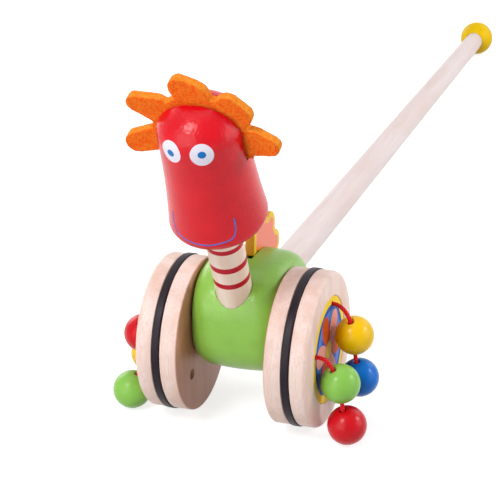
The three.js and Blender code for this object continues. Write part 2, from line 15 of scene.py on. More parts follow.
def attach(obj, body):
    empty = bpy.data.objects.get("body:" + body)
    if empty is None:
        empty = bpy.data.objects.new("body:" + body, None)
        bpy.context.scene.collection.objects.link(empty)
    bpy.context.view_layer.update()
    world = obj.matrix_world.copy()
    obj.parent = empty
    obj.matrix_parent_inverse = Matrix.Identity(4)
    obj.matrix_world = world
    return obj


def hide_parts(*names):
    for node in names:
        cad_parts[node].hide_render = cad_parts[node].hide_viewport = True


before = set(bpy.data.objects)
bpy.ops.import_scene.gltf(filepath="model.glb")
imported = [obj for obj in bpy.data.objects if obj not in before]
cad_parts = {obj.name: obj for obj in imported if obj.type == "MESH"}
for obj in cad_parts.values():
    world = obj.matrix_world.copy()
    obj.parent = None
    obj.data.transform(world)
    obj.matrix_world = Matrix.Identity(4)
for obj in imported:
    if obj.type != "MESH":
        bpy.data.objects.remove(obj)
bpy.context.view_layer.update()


# Camera. A long lens that looks down on the toy from in front of it and a little to its left.
# Its place and turn come from matching the wheels, neck and head with the photograph.
MM = 0.001
AXLE_MIDDLE = Vector((-0.488, -252.856, 40.413)) * MM
CAMERA_PLACE = (271.416, -739.150, 433.656)
CAMERA_RIGHT = (0.94585204, 0.32252424, -0.03663386)
CAMERA_UP = (-0.11020578, 0.42523423, 0.89834878)
CAMERA_BACK = (0.30531723, -0.84566776, 0.4377527)
FILM_WIDTH = 36
FOCAL_LENGTH = 126


def spot(x, y, z):
    """A point given in millimetres from the middle of the axle, in metres in the toy's frame."""
    return AXLE_MIDDLE + Vector((x, y, z)) * MM


def put(name, data):
    """A new object in the scene that shows some data."""
    thing = bpy.data.objects.new(name, data)
    bpy.context.scene.collection.objects.link(thing)
    return thing


camera = put("camera", bpy.data.cameras.new("camera"))
camera.data.sensor_width = FILM_WIDTH
camera.data.lens = FOCAL_LENGTH
camera_turn = Matrix((CAMERA_RIGHT, CAMERA_UP, CAMERA_BACK)).transposed().to_4x4()
camera.matrix_world = Matrix.Translation(spot(*CAMERA_PLACE)) @ camera_turn
bpy.context.scene.camera = camera


# Cords. Four lengths of 2 mm red braided polyester cord. Each is knotted in a pocket inside its
# wheel, comes out through the wheel's face, bends down through its first bead and ends glued in its
# last. None is long enough to lie or coil freely, so each stretch turns with the bead that it holds.
CORD_RADIUS = 1.0
CORD_SIDES = 24
CORD_STEP = 0.25
CORD_LEAST_POINTS = 8
CORD_BEND = 4.6
CORD_GAP = 0.3
CORD_RING_RADIUS = 23.6
CORD_END_SLOPES = (8, 25, 45, 65)
BRAID_STRANDS = 4
BRAID_RELIEF = 0.1
BRAID_SHARP = 80
BEAD_RADIUS = 10.0
BEAD_BORE_RADIUS = 1.6
LAST_BORE_DEPTH = 7.0
WHEEL_INNER = 22.7
WHEEL_WIDTH = 22.3
WHEEL_OUTER = WHEEL_INNER + WHEEL_WIDTH
POCKET_DEPTH = 12.0

# The strings, with right and left as seen from in front. Angles are in degrees and lengths in
# millimetres: where the hole is round the wheel, how far the first bead stands off the wheel, how far
# it hangs from the hole and how it leans back, the gap to the last bead, how that one leans and
# splays, and how far the cord between them sags. Where the bore bends, inlet is how far the cord's
# way into the first bead tips back and inward.
STRINGS = {
    "right_rear": dict(
        side=1, hole=71.5, stand_off=1.0, reach=16.6, lean=1.0,
        gap=3.1, next_lean=-5.5, splay=7.5, sag=14, inlet=(18, 7.4),
    ),
    "right_front": dict(
        side=1, hole=161, stand_off=1.0, reach=16.0, lean=14.5,
        gap=2.9, next_lean=-3.8, splay=8.8, sag=14, inlet=(16.4, 18.8),
    ),
    "left_front": dict(
        side=-1, hole=216, stand_off=3.5, reach=17.0, lean=13.2,
        gap=28.0, next_lean=90, splay=-2.4, sag=35, inlet=(-6, 21),
    ),
    "left_top": dict(
        side=-1, hole=126, stand_off=0.4, reach=24.6, lean=26.3,
        gap=2.1, next_lean=32.4, splay=5.7, sag=0, inlet=None,
    ),
}


def hang(side, lean, splay):
    """The direction that leans back from straight down, and splays outward from its wheel."""
    lean, splay = math.radians(lean), math.radians(splay)
    down = -math.cos(splay) * math.cos(lean)
    return Vector((side * math.sin(splay), math.cos(splay) * math.sin(lean), down))


def lay_out(side, hole, stand_off, reach, lean, gap, next_lean, splay, sag, inlet):
    """Where one string's pieces are, in millimetres from the middle of the axle, and which way its
    cord leads out of each bead's ends."""
    hole = math.radians(hole)
    out = Vector((side, 0, 0))
    mouth = out * WHEEL_OUTER + Vector((0, math.cos(hole), math.sin(hole))) * CORD_RING_RADIUS
    first = mouth + hang(side, lean, 0) * reach + out * (BEAD_RADIUS + stand_off)
    last = first + hang(side, next_lean, splay) * (2 * BEAD_RADIUS + gap)
    onward = hang(side, next_lean - sag, splay)
    arriving = -hang(side, next_lean + sag, splay)
    inward = hang(side, 180 + inlet[0], -inlet[1]) if inlet else -onward
    seat = math.sqrt(BEAD_RADIUS**2 - BEAD_BORE_RADIUS**2)
    return SimpleNamespace(
        side=side, bent=inlet is not None, out=out, mouth=mouth, first=first, last=last,
        inward=inward, onward=onward, arriving=arriving, inlet=first + inward * seat,
        outlet=first + onward * seat, last_inlet=last + arriving * seat,
    )


def curve(start, start_pull, end_pull, end):
    """Points of a smooth curve, spaced closely enough for the braid."""
    count = round((end - start).length / CORD_STEP) + CORD_LEAST_POINTS
    return interpolate_bezier(start, start_pull, end_pull, end, count)


def through_bead(string, end):
    """The way from the first bead's inlet to a point near its outlet, as a smooth bend inside it."""
    pulls = [tip.lerp(string.first, 2 / 3) for tip in (string.inlet, end)]
    return curve(string.inlet, *pulls, end)


def face_outward(form):
    """Turns the faces of a closed shell outward, also where recalculating leaves it inside out."""
    bmesh.ops.recalc_face_normals(form, faces=form.faces)
    if form.calc_volume(signed=True) < 0:
        bmesh.ops.reverse_faces(form, faces=form.faces)


def tube(points, radii, relief=0.0):
    """A closed round tube along points in millimetres from the axle's middle. Each vertex keeps how
    far along the tube and on which side of it it lies, for the braid."""
    form = bmesh.new()
    along = form.verts.layers.float.new("along")
    around = form.verts.layers.float_vector.new("around")
    bmesh.ops.create_circle(form, cap_ends=True, segments=CORD_SIDES, radius=1)
    form.faces.ensure_lookup_table()
    face = form.faces[0]
    for corner in face.verts:
        corner[around] = corner.co
    heading = Vector((0, 0, 1))
    turn = Quaternion()
    travelled = 0.0
    for k, (point, radius) in enumerate(zip(points, radii)):
        ahead = (points[min(k + 1, len(points) - 1)] - points[max(k - 1, 0)]).normalized()
        turn = heading.rotation_difference(ahead) @ turn
        heading = ahead
        if k:
            travelled += (point - points[k - 1]).length
            grown = bmesh.ops.extrude_face_region(form, geom=[face, *face.edges, *face.verts])["geom"]
            face = next(part for part in grown if isinstance(part, bmesh.types.BMFace))
        winding = travelled / CORD_RADIUS
        for corner in face.verts:
            side = corner[around]
            angle = math.atan2(side.y, side.x)
            crossing = max(math.sin(BRAID_STRANDS * (angle + wound)) for wound in (winding, -winding))
            corner.co = spot(*(point + turn @ side * (radius + relief * crossing)))
            corner[along] = travelled
    face_outward(form)
    return form


def to_mesh(name, form):
    """A new mesh from a bmesh, which is then freed."""
    mesh = bpy.data.meshes.new(name)
    form.to_mesh(mesh)
    form.free()
    return mesh


def add_piece(name, form, materials, body, nodes=(), sharp=35):
    """Makes a finished bmesh a smooth piece, attaches it to what it rides on and hides the CAD parts that
    it stands for.
    """
    mesh = to_mesh(name, form)
    mesh.shade_smooth()
    mesh.set_sharp_from_angle(angle=math.radians(sharp))
    for material in materials:
        mesh.materials.append(material)
    piece = put(name, mesh)
    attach(piece, body)
    if nodes:
        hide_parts(*nodes)


def linear(hex_colour):
    """The linear colour, with alpha, of an sRGB hex value."""
    channels = [int(hex_colour[k : k + 2], 16) / 255 for k in (0, 2, 4)]
    return [c / 12.92 if c <= 0.04045 else ((c + 0.055) / 1.055) ** 2.4 for c in channels] + [1.0]


def add_node(material, kind, inputs, **settings):
    """Adds a node, or finishes the one that is given, with its settings, values and links. Among the
    inputs, text is an sRGB hex colour, and a node gives the first of its outputs that is in use."""
    tree = material.node_tree
    node = tree.nodes.new(f"ShaderNode{kind}") if isinstance(kind, str) else kind
    for name, value in settings.items():
        setattr(node, name, value)
    for socket, value in inputs.items():
        if isinstance(value, str):
            value = linear(value)
        if isinstance(value, bpy.types.Node):
            value = next(output for output in value.outputs if output.enabled)
        if isinstance(value, bpy.types.NodeSocket):
            tree.links.new(value, node.inputs[socket])
        else:
            node.inputs[socket].default_value = value
    return node


def new_material(name):
    """A material with nodes, its shader, and the function that adds nodes to it."""
    material = bpy.data.materials.new(name)
    material.use_nodes = True
    return material, material.node_tree.nodes["Principled BSDF"], partial(add_node, material)


# Braided polyester: two sets of four yarns wind round the core both ways at 45 degrees, so a crossing
# comes every 1.6 mm. Its colour is painted lighter on each yarn's back and darker in the valleys between:
# painted light and shade over the braid's bump, under a soft, slightly fuzzy sheen.
# The pattern's angle and travel add up as they are because the cord's radius is 1 mm.
braid, shader, add = new_material("braided polyester cord, red")
travel = add("Attribute", {}, attribute_name="along").outputs["Fac"]
side = add("Attribute", {}, attribute_name="around").outputs["Vector"]
parts = add("SeparateXYZ", {"Vector": side}).outputs
angle = add("Math", {0: parts["Y"], 1: parts["X"]}, operation="ARCTAN2")
yarns = []
for way in ("ADD", "SUBTRACT"):
    phase = add("Math", {0: angle, 1: travel}, operation=way)
    count = add("Math", {0: phase, 1: BRAID_STRANDS}, operation="MULTIPLY")
    yarns.append(add("Math", {0: count}, operation="SINE"))
over = add("Math", {0: yarns[0], 1: yarns[1]}, operation="MAXIMUM")
depth = add("MapRange", {"Value": over, "From Min": -0.4, "From Max": 0.9})
# Painted light and shade: the yarns' backs lighter, the valleys between them darker
shade = add("Mix", {0: depth, 6: "A80612", 7: "FF262E"}, data_type="RGBA")
relief = add("Bump", {"Height": depth, "Strength": 0.5, "Distance": 0.15 * MM})
finish = {"Roughness": 0.6, "Specular IOR Level": 0.2, "Sheen Weight": 0.06, "Sheen Roughness": 0.4}
add(shader, {"Base Color": shade, "Normal": relief, **finish})

# The overhand knot is pulled tight, which squeezes the cord thinner in it. It winds twice round the
# hole's line while it weaves up and down three times, then leads over to the hole and out.
KNOT_CORD_RADIUS = 0.65
KNOT_RADIUS = 1.35
KNOT_WEAVE = 0.72
KNOT_DEPTH = 8.6
KNOT_OPENING = 0.2
KNOT_STEPS = 120
KNOT_TAIL = 2.6
KNOT_TAIL_PULLS = (1.6, 0.4)
LEAD_PULL = 1.6
LEAD_PAST_POCKET = 0.6
SWELL_STEPS = 12
strings = {name: lay_out(**string) for name, string in STRINGS.items()}


def add_stretch(kind, name, points, radii, body):
    """Adds one stretch of a cord, named for its kind and its string."""
    form = tube(points, radii, BRAID_RELIEF)
    add_piece(f"{kind}_{name}", form, [braid], body, [f"cord_{kind}_{name}"], BRAID_SHARP)


for name, string in strings.items():
    out, mouth = string.out, string.mouth
    middle = mouth - out * (WHEEL_WIDTH - KNOT_DEPTH)
    knot = []
    for k in range(KNOT_STEPS + 1):
        turn = KNOT_OPENING + (2 * math.pi - 2 * KNOT_OPENING) * k / KNOT_STEPS
        radius = KNOT_RADIUS + KNOT_WEAVE * math.cos(3 * turn)
        sideways = Vector((0, math.cos(2 * turn), math.sin(2 * turn))) * radius
        knot.append(middle + sideways + out * KNOT_WEAVE * math.sin(3 * turn))
    tail_pulls = [knot[0] - out * pull for pull in KNOT_TAIL_PULLS]
    tail = curve(knot[0] - out * KNOT_TAIL, *tail_pulls, knot[0])
    top = middle + out * (POCKET_DEPTH - KNOT_DEPTH + LEAD_PAST_POCKET)
    lead = curve(knot[-1], knot[-1] + out * LEAD_PULL, top - out * LEAD_PULL, top)
    end = mouth - out * (2 * CORD_RADIUS)
    rise = curve(top, top.lerp(end, 0.3), top.lerp(end, 0.7), end)
    slim = [*tail[:-1], *knot, *lead[1:]]
    swelling = [min(1, k / SWELL_STEPS) for k in range(len(rise) - 1)]
    radii = [KNOT_CORD_RADIUS] * len(slim)
    radii += [KNOT_CORD_RADIUS + (CORD_RADIUS - KNOT_CORD_RADIUS) * share for share in swelling]
    add_stretch("knot", name, [*slim, *rise[1:]], radii, "wheel_set")

    # From inside the hole, round the bend and on to just short of the first bead's outlet
    start = mouth + out * CORD_GAP
    points = [mouth - out * (1.5 * CORD_RADIUS), mouth - out * (0.75 * CORD_RADIUS)]
    points += curve(start, start + out * CORD_BEND, string.inlet + string.inward * CORD_BEND, string.inlet)
    points += through_bead(string, string.outlet - string.onward * (CORD_RADIUS + CORD_GAP))[1:]
    add_stretch("bend", name, points, [CORD_RADIUS] * len(points), f"first_bead_{name}")

    # From a rounded end in the first bead's outlet, which the last bead swings on, into the last bead
    outlet, onward, last_inlet, arriving = string.outlet, string.onward, string.last_inlet, string.arriving
    pull = min(CORD_BEND, (outlet - last_inlet).length / 3)
    slopes = [math.radians(slope) for slope in CORD_END_SLOPES]
    points = [outlet - onward * (CORD_RADIUS * math.cos(slope)) for slope in slopes]
    radii = [CORD_RADIUS * math.sin(slope) for slope in slopes]
    points += curve(outlet, outlet + onward * pull, last_inlet + arriving * pull, last_inlet)
    points.append(string.last + arriving * (BEAD_RADIUS - LAST_BORE_DEPTH + CORD_GAP))
    radii += [CORD_RADIUS] * (len(points) - len(radii))
    add_stretch("link", name, points, radii, f"last_bead_{name}")


# Beads. Turned beech balls of 20 mm, dipped in glossy lacquer in four colours. The first bead of a
# string is bored through, and the last has a blind bore in which the end of the cord is glued.
BEAD_COLOURS = {
    "right_rear": ("yellow", "blue"),
    "right_front": ("green", "red"),
    "left_front": ("green", "blue"),
    "left_top": ("red", "yellow"),
}
BEAD_RIM = 0.7
BEAD_TURN_STEPS = 64


def turned(profile, place=Matrix(), steps=128):
    """A closed solid turned about the Z of a frame, from pairs of radius and height in millimetres. A
    profile that ends where it began makes a ring."""
    form = bmesh.new()
    corners = [form.verts.new((radius * MM, 0, height * MM)) for radius, height in profile]
    if profile[0] == profile[-1]:
        form.verts.remove(corners.pop())
        corners.append(corners[0])
    edges = [form.edges.new(pair) for pair in zip(corners, corners[1:])]
    geom = [*form.verts, *edges]
    bmesh.ops.spin(form, geom=geom, axis=(0, 0, 1), angle=2 * math.pi, steps=steps, use_merge=True)
    bmesh.ops.remove_doubles(form, verts=form.verts, dist=1e-4 * MM)
    face_outward(form)
    form.transform(place)
    return form


def arc(middle, reach, begin, end, steps):
    """Points of a circle's arc, or of an ellipse's where the reach is a pair. Angles are in degrees."""
    wide, tall = reach if isinstance(reach, tuple) else (reach, reach)
    angles = [math.radians(begin + (end - begin) * k / steps) for k in range(steps + 1)]
    return [(middle[0] + wide * math.cos(a), middle[1] + tall * math.sin(a)) for a in angles]


def facing(point, direction):
    """A frame at a point in millimetres from the axle's middle whose Z looks along a direction."""
    turn = Vector((0, 0, 1)).rotation_difference(direction).to_matrix().to_4x4()
    return Matrix.Translation(spot(*point)) @ turn


def raised(place, height):
    """A frame moved up its own Z by a height in millimetres."""
    return place @ Matrix.Translation((0, 0, height * MM))


def drill(place, radius, length, mouth_radius=None):
    """A round cutter that runs up from the origin of a frame, and may widen toward its mouth."""
    form = bmesh.new()
    bmesh.ops.create_cone(
        form,
        cap_ends=True,
        segments=48,
        radius1=radius * MM,
        radius2=(mouth_radius or radius) * MM,
        depth=length * MM,
        matrix=raised(place, length / 2),
    )
    return form


def carve(form, cutters):
    """Cuts bmeshes out of a bmesh."""
    holders = [put("carve", to_mesh("carve", source)) for source in (form, *cutters)]
    for cutter in holders[1:]:
        cut = holders[0].modifiers.new("cut", "BOOLEAN")
        cut.object = cutter
        cut.solver = "MANIFOLD"
    ready = holders[0].evaluated_get(bpy.context.evaluated_depsgraph_get())
    result = bmesh.new()
    result.from_mesh(ready.to_mesh())
    ready.to_mesh_clear()
    for holder in holders:
        bpy.data.meshes.remove(holder.data)
    bmesh.ops.remove_doubles(result, verts=result.verts, dist=1e-4 * MM)
    return result


def lacquer(name, colour, roughness, gloss, ripple=(2.0, 0.0125)):
    """Nitro lacquer sprayed over sanded wood. It is even and glossy, with a faint ripple where it
    flowed, of a length and height in millimetres, and a slightly deeper tone where it lies thicker."""
    material, shader, add = new_material(name)
    place = add("TexCoord", {}).outputs["Object"]
    waves = add("TexNoise", {"Vector": place, "Scale": 1 / (ripple[0] * MM)})
    cloud = add("TexNoise", {"Vector": place, "Scale": 1 / (14 * MM), "Detail": 3.0})
    thick = add("MapRange", {"Value": cloud, "From Min": 0.35, "From Max": 0.7})
    deep = [channel * 0.88 for channel in linear(colour)[:3]] + [1.0]
    tone = add("Mix", {0: thick, 6: colour, 7: deep}, data_type="RGBA")
    relief = add("Bump", {"Height": waves, "Strength": 1.0, "Distance": ripple[1] * MM})
    finish = {"Roughness": roughness, "IOR": 1.5, "Specular IOR Level": gloss}
    add(shader, {"Base Color": tone, "Normal": relief, **finish})
    return material


# Gloss lacquer on the beads: strong plain colours with small, soft-edged window highlights.
bead_paint = {
    "yellow": lacquer("gloss lacquer on beech, yellow", "FFCC00", 0.26, 0.25),
    "blue": lacquer("gloss lacquer on beech, blue", "0074DA", 0.26, 0.2),
    "green": lacquer("gloss lacquer on beech, green", "8ECC56", 0.26, 0.25),
    "red": lacquer("gloss lacquer on beech, red", "D60A1C", 0.26, 0.22),
}

rim_middle = BEAD_BORE_RADIUS + BEAD_RIM
rim_top = math.sqrt(BEAD_RADIUS**2 - rim_middle**2)
rim_angle = math.degrees(math.acos(rim_middle / BEAD_RADIUS))
rim = arc((rim_middle, rim_top - BEAD_RIM), BEAD_RIM, 180, 90, 6)
whole = [(0, BEAD_RADIUS), *arc((0, 0), BEAD_RADIUS, 90, -90, 52)[1:-1], (0, -BEAD_RADIUS)]
bored = [
    *rim,
    *arc((0, 0), BEAD_RADIUS, rim_angle, -rim_angle, 44)[1:-1],
    *[(radius, -height) for radius, height in reversed(rim)],
    rim[0],
]
blind = [
    (0, BEAD_RADIUS - LAST_BORE_DEPTH),
    (BEAD_BORE_RADIUS, BEAD_RADIUS - LAST_BORE_DEPTH),
    *rim,
    *arc((0, 0), BEAD_RADIUS, rim_angle, -90, 48)[1:-1],
    (0, -BEAD_RADIUS),
]
for name, string in strings.items():
    if string.bent:
        # Its cord leaves at an angle, so its bore bends inside it
        first = turned(whole, facing(string.first, string.inward), BEAD_TURN_STEPS)
        path = through_bead(string, string.outlet)
        path = [path[0] + string.inward * 2, *path, path[-1] + string.onward * 2]
        cutters = [tube(path, [BEAD_BORE_RADIUS] * len(path))]
        for way in (string.inward, string.onward):
            place = facing(string.first + way * (rim_top - BEAD_RIM), way)
            cutters.append(drill(place, BEAD_BORE_RADIUS, 2 * BEAD_RIM, BEAD_BORE_RADIUS + 2 * BEAD_RIM))
        first = carve(first, cutters)
    else:
        first = turned(bored, facing(string.first, string.onward), BEAD_TURN_STEPS)
    last = turned(blind, facing(string.last, string.arriving), BEAD_TURN_STEPS)
    for order, form, paint in zip(("first", "last"), (first, last), BEAD_COLOURS[name]):
        body = f"{order}_bead_{name}"
        node = f"bead_{order}_{name}"
        add_piece(f"{body}_painted", form, [bead_paint[paint]], body, [node])


# Wheels and axle. The wheels are beech discs of 80 mm, turned with a groove for the tyre and a recess
# for the printed disc, and bored for the cords, each with a pocket for its knot. They are pressed on
# a beech dowel, which turns in the body.
WHEEL_RADIUS = 40.0
WHEEL_INNER_EDGE = 0.8
WHEEL_OUTER_EDGE = 2.6
WHEEL_TURN_STEPS = 160
AXLE_RADIUS = 5.0
AXLE_EDGE = 0.6
TYRE_WIDTH = 3.8
TYRE_DEPTH = 2.2
GROOVE_EDGE = 0.45
DISC_RADIUS = 27.5
DISC_PRESS = 0.15
DISC_THICKNESS = 1.2
DISC_SETBACK = 0.3
WOOD_GAP = 0.3
POCKET_RADIUS = 2.9
OVERRUN = 1.0
SIDES = {"right": 1, "left": -1}
hub_frame = Matrix.Translation(AXLE_MIDDLE)


def in_frame(add, place):
    """Adds nodes that read a point in millimetres from the origin of a frame and along its axes."""
    point = add("TexCoord", {}).outputs["Object"]
    turn = place.to_euler()
    reading = {"Vector": point, "Location": place.translation, "Rotation": turn, "Scale": (MM, MM, MM)}
    return add("Mapping", reading, vector_type="TEXTURE")


def recolour(material):
    """A material's shader, the function that adds nodes to it, and the colour that it has so far."""
    shader = material.node_tree.nodes["Principled BSDF"]
    return shader, partial(add_node, material), shader.inputs["Base Color"].links[0].from_node


def beech(name, place, light, dark, fleck):
    """Sanded beech under thin matt lacquer, with its grain along the Z of a frame. The eye sees pale
    pinkish wood with wide soft bands, fine streaks along the grain and short darker ray flecks."""
    material, shader, add = new_material(name)
    local = in_frame(add, place)

    def layer(width, length, detail, low, high, strength):
        """Noise drawn out along the grain, as a factor from nothing to a strength."""
        drawn = add("Mapping", {"Vector": local, "Scale": (1 / width, 1 / width, 1 / length)})
        noise = add("TexNoise", {"Vector": drawn, "Scale": 1.0, "Detail": detail})
        return add("MapRange", {"Value": noise, "From Min": low, "From Max": high, "To Max": strength})

    bands = layer(9, 60, 2, 0.38, 0.66, 0.75)
    streaks = layer(0.8, 45, 3, 0.42, 0.68, 0.45)
    flecks = layer(0.45, 4, 1, 0.62, 0.74, 0.16)
    tone = light
    for share, colour in ((bands, dark), (streaks, dark), (flecks, fleck)):
        tone = add("Mix", {0: share, 6: tone, 7: colour}, data_type="RGBA")
    relief = add("Bump", {"Height": streaks, "Strength": 0.15, "Distance": 0.05 * MM})
    finish = {"Roughness": 0.42, "IOR": 1.5, "Specular IOR Level": 0.42}
    add(shader, {"Base Color": tone, "Normal": relief, **finish})
    return material


def cord_drills(side, depth, sizes):
    """Drills from a depth behind the face of one side's wheel, at each hole and for each size."""
    starts = [string.mouth - string.out * depth for string in strings.values() if string.side == side]
    out = Vector((side, 0, 0))
    return [drill(facing(start, out), radius, length) for start in starts for radius, length in sizes]


def on_axle(side, start, profile, steps=128):
    """A solid turned about the axle on one side, from a distance from the axle's middle outward."""
    out = Vector((side, 0, 0))
    return turned(profile, facing(out * start, out), steps)


def dowel(radius, length, edge):
    """The profile of a rod with rounded ends."""
    low = arc((radius - edge, edge), edge, -90, 0, 5)
    high = arc((radius - edge, length - edge), edge, 0, 90, 5)
    return [(0, 0), *low, *high, (0, length)]


wheel_beech = beech("beech, turned", hub_frame, "F9E0D7", "E5BFAD", "CCA08C")

# The wheels' inner faces are painted darker and browner: painted shade, for the shade that falls between
# the wheels and the body
shader, add, tone = recolour(wheel_beech)
parts = add("SeparateXYZ", {"Vector": in_frame(add, hub_frame)}).outputs
across = add("Math", {0: parts["X"]}, operation="ABSOLUTE")
limits = {"From Min": WHEEL_INNER + WHEEL_INNER_EDGE, "From Max": WHEEL_INNER}
inside = add("MapRange", {"Value": across, **limits})
inner_face_shade = add("Mix", {0: inside, 6: tone, 7: "DFB4A6"}, data_type="RGBA", blend_type="MULTIPLY")
add(shader, {"Base Color": inner_face_shade})
groove_near = (WHEEL_WIDTH - TYRE_WIDTH) / 2 - WOOD_GAP
groove_far = WHEEL_WIDTH - groove_near
recess = WHEEL_WIDTH - DISC_SETBACK - DISC_THICKNESS - WOOD_GAP
recess_radius = DISC_RADIUS + DISC_PRESS
tread = WHEEL_RADIUS - GROOVE_EDGE
outer_edge_middle = (WHEEL_RADIUS - WHEEL_OUTER_EDGE, WHEEL_WIDTH - WHEEL_OUTER_EDGE)
wheel_profile = [
    (AXLE_RADIUS + WOOD_GAP, 0),
    *arc((WHEEL_RADIUS - WHEEL_INNER_EDGE, WHEEL_INNER_EDGE), WHEEL_INNER_EDGE, -90, 0, 5),
    *arc((tread, groove_near - GROOVE_EDGE), GROOVE_EDGE, 0, 90, 3),
    (WHEEL_RADIUS - TYRE_DEPTH, groove_near),
    (WHEEL_RADIUS - TYRE_DEPTH, groove_far),
    *arc((tread, groove_far + GROOVE_EDGE), GROOVE_EDGE, -90, 0, 3),
    *arc(outer_edge_middle, WHEEL_OUTER_EDGE, 0, 90, 10),
    *arc((recess_radius + GROOVE_EDGE, WHEEL_WIDTH - GROOVE_EDGE), GROOVE_EDGE, 90, 180, 3),
    (recess_radius, recess),
    (AXLE_RADIUS + WOOD_GAP, recess),
    (AXLE_RADIUS + WOOD_GAP, 0),
]
cord_hole = (BEAD_BORE_RADIUS, WHEEL_WIDTH + 2 * OVERRUN)
knot_pocket = (POCKET_RADIUS, POCKET_DEPTH + OVERRUN)
for label, side in SIDES.items():
    form = on_axle(side, WHEEL_INNER, wheel_profile, WHEEL_TURN_STEPS)
    form = carve(form, cord_drills(side, WHEEL_WIDTH + OVERRUN, (cord_hole, knot_pocket)))
    add_piece(f"wheel_{label}_turned", form, [wheel_beech], "wheel_set", [f"wheel_{label}"])

axle_half = WHEEL_INNER + recess - WOOD_GAP
axle_frame = facing((-axle_half, 0, 0), Vector((1, 0, 0)))
form = turned(dowel(AXLE_RADIUS, 2 * axle_half, AXLE_EDGE), axle_frame, 64)
axle_beech = beech("beech dowel", axle_frame, "F1DACB", "DFBEA9", "CDA68E")
add_piece("axle_dowel", form, [axle_beech], "wheel_set", ["axle"])


# Tyres. A flat band of extruded rubber is stretched into each wheel's groove. It is nearly black with
# a violet cast and a dull skin, with fine lines from the die that run round it.
TYRE_PROUD = 0.5
TYRE_EDGE = 0.5
rubber, shader, add = new_material("extruded rubber, near black")
place = add("TexCoord", {}).outputs["Object"]
lines = add("Mapping", {"Vector": place, "Scale": (1 / (0.35 * MM), 1 / (9 * MM), 1 / (9 * MM))})
streak = add("TexNoise", {"Vector": lines, "Scale": 1.0})
dust = add("MapRange", {"Value": streak, "From Min": 0.35, "From Max": 0.75})
shade = add("Mix", {0: dust, 6: "120812", 7: "251622"}, data_type="RGBA")
relief = add("Bump", {"Height": streak, "Strength": 0.3, "Distance": 0.1 * MM})
finish = {"Roughness": 0.44, "Specular IOR Level": 0.2}
add(shader, {"Base Color": shade, "Normal": relief, **finish})
tyre_inner = WHEEL_RADIUS - TYRE_DEPTH + WOOD_GAP
tyre_shoulder = WHEEL_RADIUS + TYRE_PROUD - TYRE_EDGE
tyre_profile = [
    (tyre_inner, 0),
    *arc((tyre_shoulder, TYRE_EDGE), TYRE_EDGE, -90, 0, 6),
    *arc((tyre_shoulder, TYRE_WIDTH - TYRE_EDGE), TYRE_EDGE, 0, 90, 6),
    (tyre_inner, TYRE_WIDTH),
    (tyre_inner, 0),
]
for label, side in SIDES.items():
    form = on_axle(side, WHEEL_INNER + (WHEEL_WIDTH - TYRE_WIDTH) / 2, tyre_profile, WHEEL_TURN_STEPS)
    add_piece(f"tyre_{label}_rubber", form, [rubber], "wheel_set", [f"tyre_{label}"])


# Wheel discs. Thin plywood discs, glued in the wheels' recesses and printed in satin colours: a yellow
# rim, a blue field with a paler ring, and a plain rosette of orange and salmon petals.
DISC_EDGE = 0.2
PETALS = 6
PETAL_RADIUS = 21.5
PETAL_TURN = 0.6
PETAL_NARROWNESS = 0.36
FIELD_RINGS = ((15.0, "5F84D4"), (20.5, "1A58AE"))
RIM_START = 23.4
HUB_RADIUS = 4.6
disc_print, shader, add = new_material("satin print on plywood")
parts = add("SeparateXYZ", {"Vector": in_frame(add, hub_frame)}).outputs
flat = add("CombineXYZ", {"X": parts["Y"], "Y": parts["Z"]})
radius = add("VectorMath", {0: flat}, operation="LENGTH")
angle = add("Math", {0: parts["Z"], 1: parts["Y"]}, operation="ARCTAN2")
swing = add("Math", {0: angle, 1: PETALS / 2, 2: PETAL_TURN}, operation="MULTIPLY_ADD")
wave = add("Math", {0: swing}, operation="COSINE")
swell = add("Math", {0: wave}, operation="ABSOLUTE")
petal = add("Math", {0: swell, 1: PETAL_NARROWNESS}, operation="POWER")
edge = add("Math", {0: petal, 1: PETAL_RADIUS}, operation="MULTIPLY")
in_petal = add("Math", {0: edge, 1: radius}, operation="GREATER_THAN")
odd = add("Math", {0: wave, 1: 0.0}, operation="GREATER_THAN")
petals = add("Mix", {0: odd, 6: "F0A090", 7: "CC5216"}, data_type="RGBA")
printed = "1A58AE"
for start, colour in FIELD_RINGS:
    past = add("Math", {0: radius, 1: start}, operation="GREATER_THAN")
    printed = add("Mix", {0: past, 6: printed, 7: colour}, data_type="RGBA")
printed = add("Mix", {0: in_petal, 6: printed, 7: petals}, data_type="RGBA")
for operation, limit in (("GREATER_THAN", RIM_START), ("LESS_THAN", HUB_RADIUS)):
    within = add("Math", {0: radius, 1: limit}, operation=operation)
    printed = add("Mix", {0: within, 6: printed, 7: "FFD838"}, data_type="RGBA")
place = add("TexCoord", {}).outputs["Object"]
fibre = add("Mapping", {"Vector": place, "Scale": (1 / MM, 1 / MM, 1 / (25 * MM))})
veneer = add("TexNoise", {"Vector": fibre, "Scale": 1.0})
relief = add("Bump", {"Height": veneer, "Strength": 0.15, "Distance": 0.05 * MM})
finish = {"Roughness": 0.5, "IOR": 1.5, "Specular IOR Level": 0.06}
add(shader, {"Base Color": printed, "Normal": relief, **finish})
disc_profile = [
    (0, 0),
    (DISC_RADIUS, 0),
    *arc((DISC_RADIUS - DISC_EDGE, DISC_THICKNESS - DISC_EDGE), DISC_EDGE, 0, 90, 3),
    (0, DISC_THICKNESS),
]
disc_depth = DISC_THICKNESS + DISC_SETBACK
cord_hole = (BEAD_BORE_RADIUS, DISC_THICKNESS + 2 * OVERRUN)
for label, side in SIDES.items():
    form = on_axle(side, WHEEL_OUTER - disc_depth, disc_profile)
    form = carve(form, cord_drills(side, disc_depth + OVERRUN, (cord_hole,)))
    node = f"wheel_disc_{label}"
    add_piece(f"disc_{label}_printed", form, [disc_print], "wheel_set", [node])


